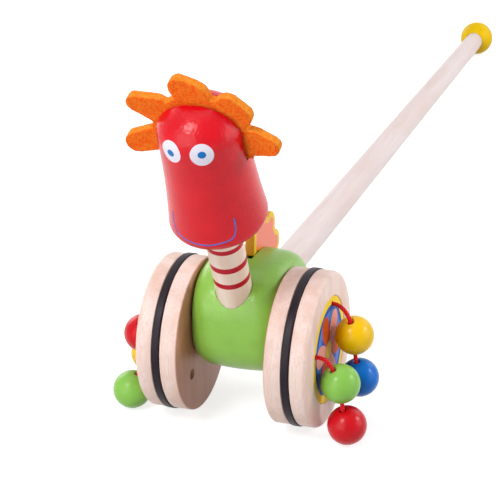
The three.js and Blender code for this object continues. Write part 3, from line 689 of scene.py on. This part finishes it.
# Body. A block of wood, sanded to a squarish oval with softly rounded ends and lacquered green. The
# axle turns in its bore, the neck and stick are glued in their sockets and the wing in its saw cut.
BODY_HALF_WIDTH = 22.1
BODY_HALF_LENGTH = 34.4
BODY_HALF_HEIGHT = 29.6
BODY_EDGE_WIDTH = 9.8
BODY_EDGE_DEPTH = 5.4
BODY_EDGE_STEPS = 12
BODY_FLANK_STEPS = 5
BODY_AHEAD = 11.2
BODY_ABOVE = 12.6
BODY_PITCH = math.radians(-6.3)
BODY_SQUARENESS = 2.66
BODY_BELLY = 0.05
AXLE_BORE_RADIUS = 5.5
NECK_RADIUS = 9.25
NECK_LEAN = math.radians(18.6)
NECK_FOOT = (0, -5, 11.5)
STICK_RADIUS = 8.75
STICK_DIP = math.radians(4.25)
STICK_BUTT = 16
STICK_HEIGHT = 13.6
WING_THICKNESS = 5.0
WING_FOOT = 27.0
SLOT_START = 7.0
neck_frame = Matrix.Translation(spot(*NECK_FOOT)) @ Matrix.Rotation(NECK_LEAN, 4, "X")
stick_butt = (0, STICK_BUTT * math.cos(STICK_DIP), STICK_HEIGHT - STICK_BUTT * math.sin(STICK_DIP))
stick_frame = Matrix.Translation(spot(*stick_butt)) @ Matrix.Rotation(-math.pi / 2 - STICK_DIP, 4, "X")
body_paint = lacquer("satin lacquer on wood, green", "90C84E", 0.28, 0.38, (1.5, 0.16))


def saw(place, middle, size):
    """A square cutter in a frame, of a middle and a size in millimetres."""
    form = bmesh.new()
    fit = Matrix.Translation(Vector(middle) * MM) @ Matrix.Diagonal((*(Vector(size) * MM), 1))
    bmesh.ops.create_cube(form, size=1, matrix=place @ fit)
    return form


# A cylinder of ones is turned first, and then each of its rings is drawn out to the body's oval
flank = BODY_HALF_WIDTH - BODY_EDGE_WIDTH
rounding = [math.sin(math.radians(90 * k / BODY_EDGE_STEPS)) for k in range(BODY_EDGE_STEPS + 1)]
half = [flank * k / BODY_FLANK_STEPS for k in range(1, BODY_FLANK_STEPS)]
half += [flank + BODY_EDGE_WIDTH * share for share in rounding]
form = turned(
    [
        (0, -BODY_HALF_WIDTH),
        (0.5, -BODY_HALF_WIDTH),
        *[(1, -across) for across in reversed(half)],
        (1, 0),
        *[(1, across) for across in half],
        (0.5, BODY_HALF_WIDTH),
        (0, BODY_HALF_WIDTH),
    ]
)
inner_length = BODY_HALF_LENGTH - BODY_EDGE_DEPTH
inner_height = BODY_HALF_HEIGHT - BODY_EDGE_DEPTH
steepness = BODY_SQUARENESS - 1
pitch = Matrix.Rotation(BODY_PITCH, 4, "X")
for corner in form.verts:
    x, y, across = corner.co / MM
    share = math.hypot(x, y)
    c, s = (x / share, y / share) if share else (0, 0)
    lengthways = math.copysign(abs(c) ** (2 / BODY_SQUARENESS), c)
    upward = math.copysign(abs(s) ** (2 / BODY_SQUARENESS), s)
    skin = Vector((0, lengthways * inner_length, upward * inner_height))
    lean = math.copysign(abs(lengthways) ** steepness / inner_length, c)
    rise = math.copysign(abs(upward) ** steepness / inner_height, s)
    past = max(0, abs(across) - flank) / BODY_EDGE_WIDTH
    skin += Vector((0, lean, rise)).normalized() * BODY_EDGE_DEPTH * math.sqrt(max(0, 1 - past**2))
    skin *= share * (1 - BODY_BELLY * (across / BODY_HALF_WIDTH) ** 2)
    skin = pitch @ skin
    corner.co = spot(across, skin.y + BODY_AHEAD, skin.z + BODY_ABOVE)
face_outward(form)
slot_middle = (0, SLOT_START + BODY_HALF_LENGTH, WING_FOOT - WOOD_GAP + BODY_HALF_HEIGHT)
slot_size = (WING_THICKNESS + 2 * WOOD_GAP, 2 * BODY_HALF_LENGTH, 2 * BODY_HALF_HEIGHT)
bore_frame = facing((-BODY_HALF_WIDTH - OVERRUN, 0, 0), Vector((1, 0, 0)))
cutters = [drill(bore_frame, AXLE_BORE_RADIUS, 2 * (BODY_HALF_WIDTH + OVERRUN))]
for place, radius in ((neck_frame, NECK_RADIUS), (stick_frame, STICK_RADIUS)):
    cutters.append(drill(raised(place, -WOOD_GAP), radius + WOOD_GAP, 2 * BODY_HALF_LENGTH))
form = carve(form, [*cutters, saw(hub_frame, slot_middle, slot_size)])
add_piece("body_lacquered", form, [body_paint], "carriage", ["body"])


# Neck. A beech dowel of 18.5 mm, glued in the body and the head. Three red rings are rolled on it as
# it turns on a lathe, and a thin clear lacquer goes over them.
NECK_LENGTH = 92.0
NECK_EDGE = 0.8
NECK_STRIPES = ((33.6, 36.8), (44.2, 47.6), (56.8, 59.6))
neck_wood = beech("beech dowel with red rings", neck_frame, "FFEFE2", "F6D4BE", "E0B89E")
shader, add, tone = recolour(neck_wood)
parts = add("SeparateXYZ", {"Vector": in_frame(add, neck_frame)}).outputs
for low, high in NECK_STRIPES:
    within = add("Math", {0: parts["Z"], 1: (low + high) / 2, 2: (high - low) / 2}, operation="COMPARE")
    tone = add("Mix", {0: within, 6: tone, 7: "C00A26"}, data_type="RGBA")
add(shader, {"Base Color": tone, "Roughness": 0.4, "Specular IOR Level": 0.25})
form = turned(dowel(NECK_RADIUS, NECK_LENGTH, NECK_EDGE), neck_frame)
add_piece("neck_ringed", form, [neck_wood], "carriage", ["neck"])


# Head. Turned wood, widest at its muzzle and domed at the crown, bored for the neck and sawn across
# the crown for the mane. It is lacquered red, and the eyes and mouth are pad printed on it.
HEAD_START = 71.8
MUZZLE_RADIUS = 24.0
MUZZLE_EDGE = (6.8, 5.6)
CROWN_RADIUS = 20.8
CROWN_START = 57.4
CROWN_HEIGHT = 16.2
FLANK_STEPS = 28
MANE_THICKNESS = 5.0
MANE_SETBACK = 1.0
MANE_FLOOR = 43.2
KERF_SLACK = 1.0
head_frame = raised(neck_frame, HEAD_START)
head_paint = lacquer("gloss lacquer on wood, red", "E6001C", 0.22, 0.3, (1.3, 0.2))


def head_radius(height):
    """The head's radius at a height above its underside, from the top of the muzzle's edge up."""
    if height > CROWN_START:
        return CROWN_RADIUS * math.sqrt(max(0, 1 - ((height - CROWN_START) / CROWN_HEIGHT) ** 2))
    fall = (CROWN_START - height) / (CROWN_START - MUZZLE_EDGE[1])
    return CROWN_RADIUS + (MUZZLE_RADIUS - CROWN_RADIUS) * fall**2


flank_height = CROWN_START - MUZZLE_EDGE[1]
heights = [MUZZLE_EDGE[1] + flank_height * k / FLANK_STEPS for k in range(1, FLANK_STEPS)]
form = turned(
    [
        (0, 0),
        *arc((MUZZLE_RADIUS - MUZZLE_EDGE[0], MUZZLE_EDGE[1]), MUZZLE_EDGE, -90, 0, 16),
        *[(head_radius(height), height) for height in heights],
        *arc((0, CROWN_START), (CROWN_RADIUS, CROWN_HEIGHT), 0, 90, 32)[:-1],
        (0, CROWN_START + CROWN_HEIGHT),
    ],
    head_frame,
)
kerf_middle = (0, MANE_SETBACK - KERF_SLACK / 2, MANE_FLOOR - WOOD_GAP + CROWN_START / 2)
kerf_size = (3 * MUZZLE_RADIUS, MANE_THICKNESS + 2 * WOOD_GAP + KERF_SLACK, CROWN_START)
socket_depth = NECK_LENGTH - HEAD_START + WOOD_GAP + OVERRUN
neck_socket = drill(raised(head_frame, -OVERRUN), NECK_RADIUS + WOOD_GAP, socket_depth)
form = carve(form, [neck_socket, saw(head_frame, kerf_middle, kerf_size)])
add_piece("head_lacquered", form, [head_paint], "carriage", ["head"])

# The prints are thin bodies of ink that follow the head's skin. The mouth is a line about 0.8 mm wide,
# of a round form that is sunk in the head for most of its depth.
INK_THICKNESS = 0.06
EYE_SIZE = (11.4, 11.2)
EYE_LIFT = 0.02
EYES = {"right": (-23.8, 58.6), "left": (19.7, 58.7)}
PUPIL_SIZE = (3.9, 3.6)
PUPIL_LIFT = 0.09
PUPILS = {"right": (-23.5, 58.2), "left": (19.9, 59.2)}
MOUTH_RADIUS = 0.5
MOUTH_LIFT = -0.32
MOUTH_STEPS = 16
MOUTH_HALF = ((0, 6.3), (14, 6.6), (26, 7.3), (36, 8.3), (41.5, 12.5), (42.5, 19))
INK_SHARP = 80


def on_head(angle, height, lift):
    """A point that lies lift millimetres proud of the head's skin, at an angle in degrees from the
    front toward the toy's left and a height above the head's underside."""
    slope = (head_radius(height + 0.1) - head_radius(height - 0.1)) / 0.2
    outward = Vector((1, -slope)).normalized()
    turn = math.radians(angle)
    reach = head_radius(height) + lift * outward.x
    level = height + lift * outward.y
    return head_frame @ (Vector((reach * math.sin(turn), -reach * math.cos(turn), level)) * MM)


def ink(name, colour, edge_colour):
    """Pad-printed enamel ink: flat, opaque and a little duller than the lacquer, with a slight mottle
    of about 1 mm where the pad pressed unevenly."""
    material, shader, add = new_material(name)
    place = add("TexCoord", {}).outputs["Object"]
    mottle = add("TexNoise", {"Vector": place, "Scale": 1 / MM})
    tone = add("Mix", {0: mottle, 6: colour, 7: edge_colour}, data_type="RGBA")
    relief = add("Bump", {"Height": mottle, "Strength": 0.1, "Distance": 0.02 * MM})
    finish = {"Roughness": 0.42, "IOR": 1.5, "Specular IOR Level": 0.25}
    add(shader, {"Base Color": tone, "Normal": relief, **finish})
    return material


def printed_spot(angle, height, width, tall, lift):
    """A thin lens of ink, pressed level onto the head from a flat oval of a size in millimetres."""
    form = bmesh.new()
    bmesh.ops.create_uvsphere(form, u_segments=64, v_segments=24, radius=1)
    middle = on_head(angle, height, 0)
    across = (on_head(angle + 1, height, 0) - on_head(angle - 1, height, 0)).normalized()
    upward = (on_head(angle, height + 1, 0) - on_head(angle, height - 1, 0)).normalized()
    to_head = head_frame.inverted()
    for corner in form.verts:
        x, y, z = corner.co
        flat = to_head @ (middle + (across * x * width + upward * y * tall) / 2 * MM) / MM
        turn = math.degrees(math.atan2(flat.x, -flat.y))
        corner.co = on_head(turn, flat.z, lift + INK_THICKNESS * z)
    face_outward(form)
    return form


white_ink = ink("white enamel ink", "F6F1FD", "ECE7F7")
blue_ink = ink("blue enamel ink", "0A78C8", "0970BC")
for label in SIDES:
    form = printed_spot(*EYES[label], *EYE_SIZE, EYE_LIFT)
    add_piece(f"eye_{label}_white", form, [white_ink], "carriage", sharp=INK_SHARP)
    form = printed_spot(*PUPILS[label], *PUPIL_SIZE, PUPIL_LIFT)
    add_piece(f"eye_{label}_pupil", form, [blue_ink], "carriage", sharp=INK_SHARP)

stops = [Vector((-angle, height)) for angle, height in reversed(MOUTH_HALF[1:])]
stops += [Vector(stop) for stop in MOUTH_HALF]
line = []
for k, (start, end) in enumerate(zip(stops, stops[1:])):
    before, after = stops[max(k - 1, 0)], stops[min(k + 2, len(stops) - 1)]
    pulls = start + (end - before) / 6, end - (after - start) / 6
    line += interpolate_bezier(start, *pulls, end, MOUTH_STEPS)[min(k, 1) :]
line = [(on_head(turn, height, MOUTH_LIFT) - AXLE_MIDDLE) / MM for turn, height in line]
mouth_ink = ink("blue enamel ink, mouth", "4A6EC8", "5468BE")
form = tube(line, [MOUTH_RADIUS] * len(line))
add_piece("mouth_line", form, [mouth_ink], "carriage", sharp=INK_SHARP)


# Mane. A cut piece of orange wool felt, 5 mm thick, glued in the saw cut across the crown. Five locks
# stand out of it, with the soft, slightly rounded edges of a die cut.
FELT_VOXEL = 0.45
FELT_FUZZ_LENGTH = 1.6
FELT_FUZZ_HEIGHT = 0.3
FELT_SKIN = 2.35
FELT_CORE = 1.7


def cad_form(node):
    """A bmesh of a CAD node's shape, with its loose triangles merged."""
    form = bmesh.new()
    form.from_mesh(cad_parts[node].data)
    bmesh.ops.remove_doubles(form, verts=form.verts, dist=0.01 * MM)
    return form


mane = put("mane_felt", to_mesh("felt, as cut", cad_form("felt_mane")))
remesh = mane.modifiers.new("remesh", "REMESH")
remesh.mode = "VOXEL"
remesh.voxel_size = FELT_VOXEL * MM
soften = mane.modifiers.new("soften", "SMOOTH")
soften.factor = 0.5
soften.iterations = 4
fuzz_noise = bpy.data.textures.new("felt surface", "CLOUDS")
fuzz_noise.noise_scale = FELT_FUZZ_LENGTH * MM
fuzz_noise.noise_depth = 2
fuzz = mane.modifiers.new("fuzz", "DISPLACE")
fuzz.texture = fuzz_noise
fuzz.strength = FELT_FUZZ_HEIGHT * MM
fuzz.mid_level = 0.5
ready = mane.evaluated_get(bpy.context.evaluated_depsgraph_get())
felted = bpy.data.meshes.new_from_object(ready)
felted.name = "mane_felt"
mane.modifiers.clear()
mane.data = felted

# Needled wool felt: matt, mottled over 1 to 2 mm where the fibres bunch, with a fuzz that catches light
# at its edges. Its cut edges are painted paler and yellower than its redder faces: painted light, for the
# light that the edges catch from above. Fibres are drawn at 0.5 mm, coarser than life, so that they show.
felt, shader, add = new_material("wool felt, orange")
place = add("TexCoord", {}).outputs["Object"]
bunches = add("TexNoise", {"Vector": place, "Scale": 1 / (1.5 * MM), "Detail": 4.0, "Roughness": 0.8})
fibres = add("TexNoise", {"Vector": place, "Scale": 1 / (0.5 * MM), "Distortion": 2.0})
both = add("Math", {0: bunches, 1: fibres}, operation="ADD")
spread = add("MapRange", {"Value": both, "From Min": 0.84, "From Max": 1.16})
mane_frame = head_frame @ Matrix.Translation((0, MANE_SETBACK * MM, 0))
parts = add("SeparateXYZ", {"Vector": in_frame(add, mane_frame)}).outputs
depth = add("Math", {0: parts["Y"]}, operation="ABSOLUTE")
# Painted light: the cut edges are coloured paler and yellower than the faces, as if lit from above
lit_edge_mask = add("MapRange", {"Value": depth, "From Min": FELT_SKIN, "From Max": FELT_CORE})
face = add("Mix", {0: spread, 6: "FB4A10", 7: "FF9430"}, data_type="RGBA")
edge = add("Mix", {0: spread, 6: "FB7414", 7: "FFB044"}, data_type="RGBA")
shade = add("Mix", {0: lit_edge_mask, 6: face, 7: edge}, data_type="RGBA")
relief = add("Bump", {"Height": both, "Strength": 0.7, "Distance": 0.25 * MM})
sheen = {"Sheen Weight": 0.25, "Sheen Roughness": 0.5, "Sheen Tint": "FF9A3C"}
finish = {"Roughness": 0.95, "Specular IOR Level": 0.05, **sheen}
add(shader, {"Base Color": shade, "Normal": relief, **finish})
felted.materials.append(felt)
felted.shade_smooth()
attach(mane, "carriage")
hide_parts("felt_mane")


# Wing. A 5 mm plywood plate with three round feather tips at its back edge, glued in the body's saw
# cut. Its edges are lacquered yellow, and its faces are printed salmon and orange inside a yellow border.
WING_EDGE = 0.4
WING_BORDER = 2.6
WING_FRONT = 8.6
WING_FACE_LEAST = 20
NOTCH_BACK = 19.6
NOTCH_TOP = 41.9
NOTCH_REACH = 1
NOTCH_LIFT = 0.1
FRONT_RAKE = 0.2
PATCH_EDGE = (24.2, 25.0)
form = cad_form("wing")
bmesh.ops.dissolve_limit(form, angle_limit=math.radians(1), verts=form.verts, edges=form.edges)
form.normal_update()
faces = [face for face in form.faces if abs(face.normal.x) > 0.99]
rims = list({edge for face in faces for edge in face.edges})
bevel = dict(offset=WING_EDGE * MM, affect="EDGES", segments=3, profile=0.5, material=-1)
bmesh.ops.bevel(form, geom=rims, clamp_overlap=True, **bevel)
form.normal_update()
least = (WING_FACE_LEAST * MM) ** 2
faces = [face for face in form.faces if abs(face.normal.x) > 0.999 and face.calc_area() > least]
bmesh.ops.inset_region(form, faces=faces, thickness=WING_BORDER * MM, use_even_offset=True)

# The border is on the front and back edges only, so the print runs down to the plate's foot
inset_back = NOTCH_BACK + WING_BORDER + NOTCH_REACH
inset_top = NOTCH_TOP + WING_BORDER + NOTCH_REACH
for corner in {corner for face in faces for corner in face.verts}:
    place = (corner.co - AXLE_MIDDLE) / MM
    if place.y < inset_back and place.z < inset_top:
        place.y = NOTCH_BACK + WING_EDGE if place.y > NOTCH_BACK else place.y - FRONT_RAKE * WING_BORDER
        if place.z > NOTCH_TOP:
            place.z = NOTCH_TOP + WING_EDGE + NOTCH_LIFT
        corner.co = spot(*place)
for face in faces:
    face.material_index = 1
wing_edge = lacquer("satin lacquer on plywood, yellow", "FFD012", 0.4, 0.3)

# The plate's edges are painted a darker ochre than the yellow border on its faces: painted shade, for the
# head's shadow on the front edge
shader, add, yellow = recolour(wing_edge)
parts = add("SeparateXYZ", {"Vector": in_frame(add, hub_frame)}).outputs
across = add("Math", {0: parts["X"]}, operation="ABSOLUTE")
limits = {"From Min": (WING_THICKNESS - WING_EDGE) / 2, "From Max": WING_THICKNESS / 2 - WING_EDGE}
edge_shade_mask = add("MapRange", {"Value": across, **limits})
shaded_edge_colour = add("Mix", {0: edge_shade_mask, 6: yellow, 7: "E8C2A0"}, data_type="RGBA", blend_type="MULTIPLY")
add(shader, {"Base Color": shaded_edge_colour})

# The print's two colours meet in a soft wavy line that leans across the plate
wing_print, shader, add = new_material("satin print on plywood, salmon and orange")
at_foot = in_frame(add, Matrix.Translation(spot(0, WING_FRONT, WING_FOOT)))
parts = add("SeparateXYZ", {"Vector": at_foot}).outputs
soft = add("TexNoise", {"Vector": at_foot, "Scale": 1 / 6})
lean = add("Math", {0: parts["Y"], 1: 0.5, 2: parts["Z"]}, operation="MULTIPLY_ADD")
wavy = add("Math", {0: soft, 1: 5.0, 2: lean}, operation="MULTIPLY_ADD")
patch = add("MapRange", {"Value": wavy, "From Min": PATCH_EDGE[0], "From Max": PATCH_EDGE[1]})
colour = add("Mix", {0: patch, 6: "FF7A1E", 7: "FC7A5A"}, data_type="RGBA")
relief = add("Bump", {"Height": soft, "Strength": 0.1, "Distance": 0.05 * MM})
add(shader, {"Base Color": colour, "Normal": relief, "Roughness": 0.4, "IOR": 1.5})
add_piece("wing_printed", form, [wing_edge, wing_print], "carriage", ["wing"])


# Push stick. A long tapered beech rod, thickest where it is glued in the body, sanded and thinly
# lacquered. It is paler than the wheels, with long fine streaks and short ray flecks.
STICK_LENGTH = 546.0
STICK_SOCKET_DEPTH = 31.0
STICK_END_RADIUS = 6.55
STICK_EDGE = 1.0
STICK_CUTS = 40
stick_wood = beech("beech, tapered rod", stick_frame, "F2E4E4", "EAD2CC", "DABCB0")
form = turned(
    [
        (0, 0),
        *arc((STICK_RADIUS - STICK_EDGE, STICK_EDGE), STICK_EDGE, -90, 0, 5),
        (STICK_RADIUS, STICK_SOCKET_DEPTH),
        *arc((STICK_END_RADIUS - STICK_EDGE, STICK_LENGTH - STICK_EDGE), STICK_EDGE, 0, 90, 5),
        (0, STICK_LENGTH),
    ],
    steps=96,
)
long_edges = [edge for edge in form.edges if edge.calc_length() > 100 * MM]
bmesh.ops.subdivide_edges(form, edges=long_edges, cuts=STICK_CUTS, use_grid_fill=True)
form.transform(stick_frame)
add_piece("push_stick_rod", form, [stick_wood], "carriage", ["push_stick"])


# Handle ball. A turned wooden ball of 25 mm in yellow lacquer, bored and glued on the stick's end.
BALL_RADIUS = 12.4
BALL_SOCKET_DEPTH = 13.0
ball_paint = lacquer("gloss lacquer on wood, yellow", "F6CA00", 0.36, 0.12)
ball_frame = raised(stick_frame, STICK_LENGTH - BALL_SOCKET_DEPTH + BALL_RADIUS)
ball = [(0, -BALL_RADIUS), *arc((0, 0), BALL_RADIUS, -90, 90, 64)[1:-1], (0, BALL_RADIUS)]
form = turned(ball, ball_frame, 96)
socket_frame = raised(ball_frame, -BALL_RADIUS - OVERRUN)
stick_socket = drill(socket_frame, STICK_END_RADIUS + WOOD_GAP, BALL_SOCKET_DEPTH + WOOD_GAP + OVERRUN)
form = carve(form, [stick_socket])
add_piece("handle_ball_lacquered", form, [ball_paint], "carriage", ["handle_ball"])


# Floor. A wide sheet of white card under the toy, which keeps its soft shadow and fades to plain white
# away from it. Behind it the world is white, and reflections see both as white too.
FLOOR_HALF_SIZE = 6
FLOOR_DROP = 0.1
FLOOR_LIFT = 0.74
FLOOR_NEAR = 0.5
FLOOR_FAR = 1.1
SURROUND = 0.05
form = bmesh.new()
bmesh.ops.create_grid(form, x_segments=1, y_segments=1, size=FLOOR_HALF_SIZE)
floor = put("floor", to_mesh("floor", form))
floor.data.transform(Matrix.Translation((0, 0, -FLOOR_DROP * MM)))
card, shader, add = new_material("white card")
place = add("TexCoord", {}).outputs["Object"]
paper = add("TexNoise", {"Vector": place, "Scale": 1 / (300 * MM)})
shade = add("Mix", {0: paper, 6: "C2C2C2", 7: "BEBEBE"}, data_type="RGBA")
ray = add("LightPath", {}).outputs
seen = add("Math", {0: ray["Is Camera Ray"], 1: ray["Is Glossy Ray"]}, operation="MAXIMUM")
away = add("VectorMath", {0: place}, operation="LENGTH")
far = add("MapRange", {"Value": away, "From Min": FLOOR_NEAR, "From Max": FLOOR_FAR, "To Min": FLOOR_LIFT})
lift = add("Math", {0: seen, 1: far}, operation="MULTIPLY")
glow = {"Emission Color": (1, 1, 1, 1), "Emission Strength": lift}
add(shader, {"Base Color": shade, "Roughness": 0.9, "Specular IOR Level": 0.1, **glow})
floor.data.materials.append(card)

world = bpy.data.worlds.new("studio")
world.use_nodes = True
bpy.context.scene.world = world
background = world.node_tree.nodes["Background"]
add = partial(add_node, world)
ray = add("LightPath", {}).outputs
seen = ray["Is Camera Ray"]
for kind in ("Is Transmission Ray", "Is Glossy Ray"):
    seen = add("Math", {0: seen, 1: ray[kind]}, operation="MAXIMUM")
strength = add("Math", {0: seen, 1: 1 - SURROUND, 2: SURROUND}, operation="MULTIPLY_ADD")
add(background, {"Color": (1, 1, 1, 1), "Strength": strength})


# Lamps. Seven soft boxes, as in a product studio: the main one high on the left of the picture, a
# small one high on the right, two low ones that fill the front and right, two behind, one overhead.
LAMP_AIM = Vector((0, -0.2, 0.08))
for label, place, size, power in (
    ("main", (-0.5, -1.36, 1.45), 0.5, 16.0),
    ("key", (1.52, 0.34, 1.05), 0.4, 9.0),
    ("low front", (-0.7, -1.9, 0.4), 1.6, 20.0),
    ("low right", (1.6, 0.0, 0.45), 1.2, 10.0),
    ("back right", (1.0, 1.45, 1.0), 1.0, 6.0),
    ("back left", (-1.5, 0.9, 0.75), 1.2, 11.0),
    ("top", (-0.3, 0.0, 2.0), 1.8, 8.0),
):
    lamp = put(f"soft box, {label}", bpy.data.lights.new(f"soft box, {label}", "AREA"))
    lamp.data.size = size
    lamp.data.energy = power
    turn = (LAMP_AIM - Vector(place)).to_track_quat("-Z", "Y").to_matrix().to_4x4()
    lamp.matrix_world = Matrix.Translation(place) @ turn
bpy.context.scene.view_settings.view_transform = "Standard"
